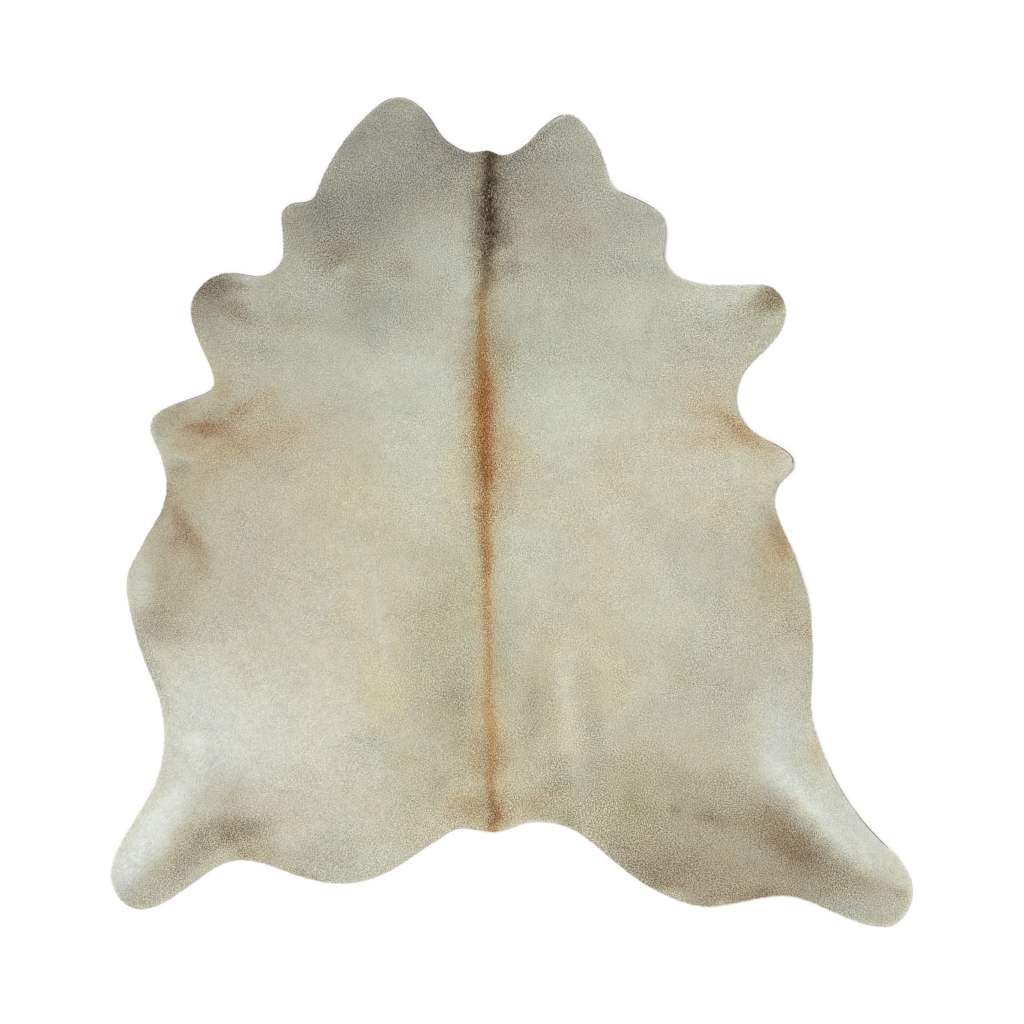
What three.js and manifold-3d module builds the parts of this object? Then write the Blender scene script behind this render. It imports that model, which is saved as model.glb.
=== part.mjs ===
// A cowhide rug: one hide with its hair on, lying flat on the floor, hair side up.
// Millimetres, +Z up. +Y runs along the back from the tail to the neck, +X across the hide.
// The origin lies on the floor under the middle of the hide's box.

import * as THREE from 'three';
import { mergeVertices } from 'three/addons/utils/BufferGeometryUtils.js';
import Module from 'manifold-3d';

const wasm = await Module();
wasm.setup();

// Overall size, neck lobes to hind feet, and the thickness of skin and lying hair
const LENGTH = 2200;
const LEATHER = 2.4;
const NAP = 2.6;
const THICKNESS = LEATHER + NAP;

// How finely the cut edge and the ridges are stepped, along them and across
const EDGE_STEP = 18;
const RIDGE_STEP = 26;
const RIDGE_STRIPS = 8;

// How far the block under a mound reaches down, less than the hide is thick
const MOUND_FOOT = 1;

const COAT = { color: 0xcbc8b6, roughness: 0.85, metalness: 0 };

// The cut edge, clockwise seen from above, in rows by the part of the hide that they go round.
// x and y place a point of the edge, and heading is the edge's direction there in degrees:
// 0 runs along +X, 90 along +Y.
const OUTLINE = {
  leftCheek: [
    { x: -504, y: 877, heading: 67 },
    { x: -388, y: 1047, heading: 45 },
    { x: -298, y: 1100, heading: 0 },
    { x: -227, y: 1059, heading: -49 },
    { x: -172, y: 985, heading: -40 },
  ],
  neck: [
    { x: -102, y: 953, heading: 0 },
    { x: -62, y: 959, heading: 0 },
    { x: -30, y: 947, heading: -8 },
    { x: 35, y: 972, heading: 36 },
    { x: 78, y: 1014, heading: 41 },
  ],
  rightCheek: [
    { x: 149, y: 1054, heading: 0 },
    { x: 211, y: 1004, heading: -54 },
    { x: 252, y: 911, heading: -70 },
    { x: 268, y: 866, heading: -52 },
  ],
  rightShoulder: [
    { x: 340, y: 826, heading: -27 },
    { x: 396, y: 789, heading: -52 },
    { x: 408, y: 757, heading: -88 },
    { x: 404, y: 694, heading: -92 },
    { x: 412, y: 656, heading: -62 },
  ],
  rightForeleg: [
    { x: 502, y: 606, heading: -11 },
    { x: 578, y: 601, heading: 0 },
    { x: 669, y: 601, heading: -8 },
    { x: 727, y: 527, heading: -92 },
    { x: 695, y: 455, heading: -129 },
    { x: 623, y: 378, heading: -126 },
    { x: 597, y: 291, heading: -88 },
  ],
  rightBelly: [
    { x: 645, y: 209, heading: -37 },
    { x: 729, y: 161, heading: -40 },
    { x: 748, y: 137, heading: -84 },
    { x: 719, y: 84, heading: -128 },
    { x: 698, y: 20, heading: -82 },
  ],
  rightFlank: [
    { x: 740, y: -91, heading: -67 },
    { x: 788, y: -252, heading: -81 },
    { x: 798, y: -393, heading: -90 },
    { x: 793, y: -501, heading: -90 },
  ],
  rightHindLeg: [
    { x: 822, y: -634, heading: -66 },
    { x: 918, y: -801, heading: -53 },
    { x: 1005, y: -896, heading: -45 },
    { x: 1063, y: -1005, heading: -90 },
    { x: 1021, y: -1090, heading: -142 },
    { x: 989, y: -1100, heading: 180 },
    { x: 896, y: -1079, heading: 160 },
  ],
  rump: [
    { x: 719, y: -1018, heading: 180 },
    { x: 584, y: -1039, heading: -171 },
    { x: 496, y: -1045, heading: 170 },
    { x: 385, y: -1005, heading: 153 },
    { x: 274, y: -928, heading: 141 },
    { x: 178, y: -851, heading: 148 },
    { x: 56, y: -822, heading: -177 },
    { x: -50, y: -849, heading: 180 },
    { x: -132, y: -839, heading: 180 },
    { x: -206, y: -875, heading: -149 },
    { x: -349, y: -963, heading: -157 },
    { x: -455, y: -985, heading: 180 },
    { x: -545, y: -971, heading: 165 },
  ],
  leftHindLeg: [
    { x: -718, y: -923, heading: 180 },
    { x: -794, y: -947, heading: -147 },
    { x: -900, y: -1021, heading: -149 },
    { x: -985, y: -1053, heading: 180 },
    { x: -1051, y: -1008, heading: 118 },
    { x: -1062, y: -968, heading: 90 },
    { x: -1041, y: -891, heading: 64 },
    { x: -951, y: -735, heading: 64 },
  ],
  leftFlank: [
    { x: -920, y: -597, heading: 90 },
    { x: -945, y: -462, heading: 111 },
    { x: -996, y: -324, heading: 104 },
    { x: -1020, y: -191, heading: 90 },
    { x: -980, y: -91, heading: 64 },
  ],
  leftBelly: [
    { x: -916, y: 39, heading: 80 },
    { x: -930, y: 148, heading: 108 },
    { x: -956, y: 225, heading: 88 },
    { x: -903, y: 280, heading: 25 },
    { x: -818, y: 312, heading: 22 },
    { x: -788, y: 344, heading: 95 },
  ],
  leftForeleg: [
    { x: -823, y: 439, heading: 112 },
    { x: -850, y: 535, heading: 90 },
    { x: -813, y: 606, heading: 42 },
    { x: -736, y: 633, heading: 0 },
    { x: -657, y: 626, heading: 12 },
  ],
  leftShoulder: [
    { x: -604, y: 688, heading: 88 },
    { x: -609, y: 778, heading: 90 },
    { x: -585, y: 815, heading: 24 },
    { x: -529, y: 826, heading: 35 },
  ],
};

// Where the hide doesn't lie flat: soft ridges across it, and stretches of the edge that lift.
// Each runs straight from x1, y1 to x2, y2, stands lift high there, and is gone at reach.
const RELIEF = {
  rightThighRidge: { x1: 680, y1: -520, x2: 955, y2: -940, reach: 75, lift: 11 },
  rightThighEdge: { x1: 815, y1: -600, x2: 1010, y2: -890, reach: 62, lift: 8 },
  leftThighRidge: { x1: -830, y1: -690, x2: -1000, y2: -930, reach: 85, lift: 8 },
  rightRumpRidge: { x1: 165, y1: -400, x2: 200, y2: -730, reach: 70, lift: 5 },
  leftLoinRidge: { x1: -390, y1: -190, x2: -370, y2: -290, reach: 60, lift: 4 },
  rightElbowRidge: { x1: 540, y1: 275, x2: 650, y2: 190, reach: 60, lift: 6 },
  rightBellyTip: { x1: 690, y1: 175, x2: 752, y2: 135, reach: 65, lift: 10 },
  rightFlankEdge: { x1: 765, y1: -120, x2: 792, y2: -250, reach: 60, lift: 7 },
  rightShoulderEdge: { x1: 300, y1: 850, x2: 395, y2: 800, reach: 65, lift: 9 },
  rightShoulderNotch: { x1: 405, y1: 740, x2: 408, y2: 665, reach: 55, lift: 7 },
  rightCheekEdge: { x1: 75, y1: 1015, x2: 135, y2: 1052, reach: 60, lift: 7 },
  leftCheekEdge: { x1: -235, y1: 1065, x2: -145, y2: 968, reach: 65, lift: 8 },
  leftShoulderEdge: { x1: -605, y1: 800, x2: -530, y2: 826, reach: 65, lift: 9 },
  leftForelegEdge: { x1: -745, y1: 633, x2: -650, y2: 628, reach: 55, lift: 6 },
  leftBellyTip: { x1: -955, y1: 215, x2: -930, y2: 262, reach: 65, lift: 6 },
};

// The point that lies along heading from a row of the outline, at the given distance
function ahead(row, distance) {
  const angle = THREE.MathUtils.degToRad(row.heading);
  return new THREE.Vector2(
    row.x + distance * Math.cos(angle),
    row.y + distance * Math.sin(angle),
  );
}

// The smooth stretch of edge between two rows: the arc of a circle where it turns evenly
function edgeStretch(from, to) {
  const start = ahead(from, 0);
  const end = ahead(to, 0);
  const turn = THREE.MathUtils.euclideanModulo(to.heading - from.heading + 180, 360) - 180;
  const quarterTurn = THREE.MathUtils.degToRad(turn / 4);
  const handle = start.distanceTo(end) / (3 * Math.cos(quarterTurn) ** 2);
  return new THREE.CubicBezierCurve(start, ahead(from, handle), ahead(to, -handle), end);
}

// The points of the whole cut edge, evenly spaced along each stretch
function edgePoints() {
  const rows = Object.values(OUTLINE).flat();
  const points = rows.flatMap((row, i) => {
    const stretch = edgeStretch(row, rows[(i + 1) % rows.length]);
    const steps = Math.max(1, Math.round(stretch.getLength() / EDGE_STEP));
    return stretch.getSpacedPoints(steps).slice(0, -1);
  });
  const box = new THREE.Box2().setFromPoints(points);
  const middle = box.getCenter(new THREE.Vector2());
  const scale = LENGTH / (box.max.y - box.min.y);
  return points.map((p) => p.sub(middle).multiplyScalar(scale));
}

// The share of its full lift that a ridge keeps at a distance from its crest line
function fallOff(distance, reach) {
  const inside = Math.max(0, 1 - distance / reach);
  return inside * inside * (3 - 2 * inside);
}

function solidOf(geometry) {
  geometry.deleteAttribute('normal');
  geometry.deleteAttribute('uv');
  const merged = mergeVertices(geometry);
  return new wasm.Manifold(
    new wasm.Mesh({
      numProp: 3,
      vertProperties: merged.attributes.position.array,
      triVerts: new Uint32Array(merged.index.array),
    }),
  );
}

// The outline as an upright block, from bottom up to top
function outlineBlock(points, bottom, top) {
  const block = new THREE.ExtrudeGeometry(new THREE.Shape(points), {
    depth: top - bottom,
    bevelEnabled: false,
  });
  block.translate(0, 0, bottom);
  return solidOf(block);
}

// The low mound of air under one ridge, with its foot level with the floor around it.
// The block under it only gives the mound a body to join or cut with.
function mound(row) {
  const start = new THREE.Vector3(row.x1, row.y1, 0);
  const end = new THREE.Vector3(row.x2, row.y2, 0);
  const half = start.distanceTo(end) / 2;
  const length = 2 * (half + row.reach);
  const along = Math.round(length / RIDGE_STEP);
  const block = new THREE.BoxGeometry(length, 2 * row.reach, MOUND_FOOT, along, RIDGE_STRIPS, 1);
  const position = block.attributes.position;
  for (let i = 0; i < position.count; i += 1) {
    const pastEnd = Math.max(0, Math.abs(position.getX(i)) - half);
    const share = fallOff(Math.hypot(pastEnd, position.getY(i)), row.reach);
    position.setZ(i, position.getZ(i) > 0 ? row.lift * share : -MOUND_FOOT);
  }
  block.rotateZ(Math.atan2(end.y - start.y, end.x - start.x));
  block.translate((start.x + end.x) / 2, (start.y + end.y) / 2, 0);
  return solidOf(block);
}

// The flat hide is joined to each mound on top and cut by it from below, so it keeps its
// thickness over the ridges, and the outline trims the ridges that reach its edge.
function hide() {
  const points = edgePoints();
  const ridges = Object.values(RELIEF);
  const tallest = THICKNESS + Math.max(...ridges.map((row) => row.lift));
  const mounds = ridges.map(mound);
  let solid = outlineBlock(points, 0, THICKNESS);
  for (const one of mounds) solid = solid.add(one.translate(0, 0, THICKNESS));
  for (const one of mounds) solid = solid.subtract(one);
  solid = solid.intersect(outlineBlock(points, 0, tallest + MOUND_FOOT));

  const cut = solid.getMesh();
  const geometry = new THREE.BufferGeometry();
  geometry.setAttribute('position', new THREE.BufferAttribute(cut.vertProperties, 3));
  geometry.setIndex(new THREE.BufferAttribute(cut.triVerts, 1));
  geometry.computeVertexNormals();
  const mesh = new THREE.Mesh(geometry, new THREE.MeshStandardMaterial(COAT));
  mesh.name = 'hide';
  return mesh;
}

const rug = new THREE.Group();
rug.add(hide());

export default rug;
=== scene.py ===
"""The looks of a cowhide rug, seen from straight above, around its CAD frame.

The hide is a thin sheet of tanned skin, cut along the frame's outline, that lies on
the CAD solid's folds. The hair is real geometry: short flat locks, each in a shade of
its own, in five joined meshes from the neck to the rump. The sizes in the tables are in
millimetres, in the frame's axes: +X to the right flank, +Y to the neck.
"""

import math

import bpy
import numpy as np
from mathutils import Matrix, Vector, geometry


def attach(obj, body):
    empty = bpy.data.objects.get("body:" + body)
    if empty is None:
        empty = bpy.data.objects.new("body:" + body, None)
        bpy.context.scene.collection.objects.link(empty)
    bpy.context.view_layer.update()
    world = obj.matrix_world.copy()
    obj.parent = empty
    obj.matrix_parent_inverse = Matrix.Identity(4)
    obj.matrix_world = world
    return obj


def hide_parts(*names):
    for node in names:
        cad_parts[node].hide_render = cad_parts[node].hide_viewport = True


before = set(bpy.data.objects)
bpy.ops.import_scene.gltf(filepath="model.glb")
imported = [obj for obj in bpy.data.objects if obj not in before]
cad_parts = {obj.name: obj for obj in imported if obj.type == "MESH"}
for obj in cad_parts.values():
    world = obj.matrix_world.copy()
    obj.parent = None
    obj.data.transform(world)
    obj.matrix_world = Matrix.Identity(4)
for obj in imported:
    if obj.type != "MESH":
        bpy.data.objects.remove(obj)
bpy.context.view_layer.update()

MM = 0.001
DISPLAY_GAMMA = 2.2
SEED = 11

# Sheet and hair, in mm
LEATHER = 2.4  # tanned skin
NAP = 2.6  # hair lying on it
OUTLINE_STEP = 5.0  # along the cut edge
SKIN_STEP = 12.0  # between the points of the sheet's top
BACK_STEP = 26.0  # between the points of its underside
CUT_BEVEL = 0.7  # how far the cut edge leans out where it lies flat
CUT_WOBBLE = 0.7  # how unevenly the knife went round
LOCK_PITCH = 2.9  # between locks of hair
LOCK_LENGTH = 9.0
LOCK_WIDTH = 2.9
BEHIND = 0.45  # of a lock's length, from its root to its widest place
SHORTEST = 0.3  # of the usual length, that a lock trimmed at the edge may have
ROOT_MARGIN = 0.8  # of bare skin between the cut edge and the outermost roots
LEAN_CLEARANCE = 1.8  # how far hair stays back from a leaning cut, per mm of lean
FAR_INSIDE = 1000.0  # stands for the depth of locks that no edge is near
OVERHANG = 0.8  # how far the hair may reach past the cut edge
RIM_WIDTH = 2.5  # of skin, pale where the hair was sheared with it
PIECES = ["coat_neck", "coat_shoulders", "coat_barrel", "coat_loin", "coat_rump"]

# A row of these tables is a stretch from x1, y1 to x2, y2, felt as far as its reach,
# and then the value that the table is about
STRETCH = ("x1", "y1", "x2", "y2", "reach", "value")

# Folds: the ridges and lifted stretches of the CAD solid, and how high each stands
FOLDS = dict(
    rightThighRidge=(680, -520, 955, -940, 75, 11),
    rightThighEdge=(815, -600, 1010, -890, 62, 8),
    leftThighRidge=(-830, -690, -1000, -930, 85, 8),
    rightRumpRidge=(165, -400, 200, -730, 70, 5),
    leftLoinRidge=(-390, -190, -370, -290, 60, 4),
    rightElbowRidge=(540, 275, 650, 190, 60, 6),
    rightBellyTip=(690, 175, 752, 135, 65, 10),
    rightFlankEdge=(765, -120, 792, -250, 60, 7),
    rightShoulderEdge=(300, 850, 395, 800, 65, 9),
    rightShoulderNotch=(405, 740, 408, 665, 55, 7),
    rightCheekEdge=(75, 1015, 135, 1052, 60, 7),
    leftCheekEdge=(-235, 1065, -145, 968, 65, 8),
    leftShoulderEdge=(-605, 800, -530, 826, 65, 9),
    leftForelegEdge=(-745, 633, -650, 628, 55, 6),
    leftBellyTip=(-955, 215, -930, 262, 65, 6),
)

# Fine creases in the skin, too low for the CAD solid, and how high each stands
CREASES = dict(
    leftHaunchWrinkle=(-918, -488, -882, -520, 10, 1.2),
    leftHaunchWrinkle2=(-920, -520, -880, -552, 10, 1.0),
    leftFlankLine=(-925, -292, -788, -288, 9, 0.9),
    leftBellyLine=(-945, 188, -870, 178, 12, 1.4),
    leftBellyLine2=(-925, 140, -828, 134, 12, 1.2),
    rightElbowCrease=(546, 284, 594, 282, 10, 1.2),
    tailRidge=(8, -684, 12, -766, 24, 1.4),
    leftChestLine=(-415, 402, -412, 350, 9, 0.8),
    rightHaunchStar=(712, -592, 745, -602, 14, 1.6),
    rightHaunchStar2=(735, -570, 740, -625, 13, 1.2),
)

# Stretches of the cut edge that stand up and show their blue-grey side, painted darker
# as the shadow under the lifted edge too, and how far each leans out
CUT_EDGES = dict(
    leftCheekTop=(-345, 1090, -330, 1094, 25, 2.5),
    leftCheekSide=(-232, 1055, -132, 965, 22, 2.8),
    rightCheekSide=(75, 1015, 128, 1046, 20, 3.0),
    rightShoulderTop=(305, 842, 372, 812, 22, 3.0),
    rightShoulderNotch=(404, 680, 407, 655, 18, 2.2),
    leftShoulderTop=(-602, 812, -530, 822, 22, 2.8),
    leftForelegTop=(-735, 630, -655, 626, 20, 2.2),
    rightBellyTip=(684, 182, 748, 140, 22, 3.2),
    rightFlankTop=(752, -128, 774, -182, 18, 2.2),
    rightThighUpper=(806, -594, 850, -694, 18, 1.2),
    rightThighEdge=(850, -694, 918, -804, 20, 2.2),
    rightThighLower=(918, -804, 990, -882, 20, 3.0),
    leftBellyTop=(-874, 291, -806, 319, 20, 2.6),
)

# Stretches of the edge where longer hair fades to white over the cut, and how white
PALE_RIMS = dict(
    leftCheek=(-430, 1010, -340, 1095, 60, 0.2),
    rightCheek=(150, 1056, 225, 990, 50, 0.25),
    rightShoulderStep=(255, 890, 290, 850, 40, 0.35),
    rightForeleg=(430, 630, 640, 602, 50, 0.4),
    rightHock=(1005, -896, 1060, -980, 50, 0.25),
    rightFoot=(1058, -1020, 1010, -1095, 50, 0.35),
    rightSole=(970, -1098, 880, -1078, 50, 0.2),
    tail=(90, -822, 10, -832, 50, 0.35),
    leftSole=(-870, -1000, -1020, -1045, 50, 0.15),
    leftFoot=(-1062, -1000, -1040, -900, 55, 0.5),
    leftShin=(-1030, -870, -945, -700, 50, 0.35),
    leftHaunch=(-925, -660, -930, -520, 55, 0.3),
    leftFlank=(-1005, -280, -1015, -200, 50, 0.3),
    leftBelly=(-925, 130, -955, 215, 45, 0.3),
)
WHITE_HAIR = (240, 240, 234)
WHITE_DEPTH = 4.0  # mm inside the edge where half of the white is left

# Which way the hair lies: degrees from +X, -90 being back towards the tail
FLOW_POINT = ("x", "y", "heading")
FLOW = dict(
    crest=(-60, 900, -90),
    withers=(-70, 400, -90),
    back=(-70, 0, -90),
    loin=(-60, -450, -90),
    tail=(-50, -800, -90),
    leftCheek=(-330, 980, -118),
    rightCheek=(170, 980, -62),
    leftShoulder=(-500, 720, -140),
    rightShoulder=(330, 720, -45),
    leftForeleg=(-770, 540, -176),
    rightForeleg=(650, 520, -6),
    leftChest=(-420, 400, -125),
    rightChest=(300, 400, -56),
    leftBelly=(-860, 200, -160),
    rightBelly=(680, 160, -22),
    leftBarrel=(-500, -100, -118),
    rightBarrel=(380, -100, -62),
    leftFlank=(-900, -200, -135),
    rightFlank=(720, -200, -45),
    leftHaunch=(-800, -600, -108),
    rightHaunch=(680, -600, -72),
    leftHindLeg=(-960, -930, -128),
    rightHindLeg=(920, -960, -38),
    leftRump=(-450, -820, -100),
    rightRump=(400, -860, -80),
)

# Colours of the coat, as sRGB values from 0 to 255
GROUND = (196, 192, 168)
RIM = (224, 221, 208)
COAT = dict(
    ash=(166, 167, 154),
    smoke=(149, 147, 135),
    slate=(136, 133, 123),
    mauve=(158, 151, 134),
    pewter=(177, 177, 160),
    dove=(186, 188, 173),
    mist=(203, 206, 187),
    ice=(212, 215, 206),
    white=(226, 229, 222),
    frost=(224, 230, 231),
    glacier=(203, 209, 206),
    cream=(212, 206, 178),
    bone=(205, 203, 184),
    straw=(203, 196, 161),
    lilac=(195, 189, 171),
    olive=(178, 174, 143),
    moss=(162, 158, 130),
    drab=(166, 155, 131),
    taupe=(151, 141, 121),
    umber=(125, 106, 81),
    stone=(180, 175, 163),
    bark=(104, 86, 68),
    sable=(110, 86, 54),
    khaki=(158, 146, 114),
    tan=(184, 164, 132),
    wheat=(201, 184, 147),
    peach=(192, 166, 134),
    rust=(147, 109, 75),
    copper=(161, 128, 94),
    soot=(83, 69, 52),
    sepia=(105, 91, 69),
    walnut=(130, 115, 85),
    camel=(161, 134, 96),
    chestnut=(156, 117, 71),
    ginger=(154, 106, 58),
    amber=(170, 131, 83),
    fawn=(181, 150, 104),
    caramel=(172, 139, 96),
    cinnamon=(152, 118, 81),
    dusk=(118, 108, 86),
    loam=(143, 132, 102),
    hay=(166, 152, 117),
    honey=(179, 153, 108),
    sand=(188, 168, 128),
    dune=(175, 153, 116),
)

# How far single hairs stray from the coat's colour around them, in sRGB steps: little
# in white hair, and more the darker it is
GRAIN_LEAST = 2.3
GRAIN_SLOPE = 0.15
GRAIN_WHITE = 215.0
LOCK_GRAIN = 0.35  # the locks' part in it
DARK_LOCKS = 0.55  # and how much more it is in the darkest hair
FIBRE_GRAIN = 4.9  # the fibres' part in it, from the material
FIBRE_MOST = 1.0  # and its limit, as a share of the linear colour
FIBRE_SCALE = 380.0  # cells of the fibres' noise to a metre
FIBRE_LEAST = 0.12  # of the painted colour, in the darkest fibre
GRAIN_DARKEST = 40  # the sRGB value below which grain grows no further
DARK_FROM = 150  # the sRGB value below which hair counts as dark
DARK_FULL = 80  # and the one where it is the darkest
STRAY_MOST = 2  # times the usual, for the lock that strays farthest
BLEND = 0.22  # how much a patch ends in mixed hair instead of fading
PATCH_REACH = 2.6  # of its half sizes, where a patch has ended

# Unevenness of the coat, in layers: strength, size of the patches in mm, and seed
WARP_X = ((7, 40, 1), (4, 14, 2))  # mm that colours are moved by
WARP_Y = ((7, 40, 3), (4, 14, 4))
TONE_SHIFT = 0.7
TONE = ((2.4, 55, 5), (2.6, 24, 6), (1.8, 13, 10))  # sRGB steps lighter
WARMTH = ((1.5, 70, 7), (1.2, 26, 8))  # sRGB steps warmer
WARMER = (1.0, 0.2, -1.2)  # what a step of warmth adds to red, green and blue
GRAIN_LAYERS = ((0.35, 60, 9),)
CUT_LAYERS = ((0.7, 45, 21), (0.3, 9, 22))  # of the cut's wobble
SWIRL = ((9, 60, 31), (9, 20, 32), (9, 8, 33))  # degrees that the hair turns
HEIGHT_LAYERS = ((0.15, 9, 34),)

# Where the grain is stronger or weaker than that, as a factor
GRAIN_AREAS = dict(
    leftCheek=(-400, 1080, -230, 1060, 220, 0.55),
    leftBelly=(-960, -60, -950, 240, 420, 0.5),
    leftForeleg=(-860, 420, -620, 780, 220, 0.65),
    leftShoulder=(-440, 640, -280, 600, 200, 1.25),
    rightForeleg=(830, 540, 760, -60, 320, 0.45),
    rightHindLeg=(930, -620, 1060, -1040, 220, 0.55),
    neck=(-60, 960, -60, 640, 150, 1.3),
    tail=(100, -500, 250, -860, 300, 1.25),
)

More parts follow.
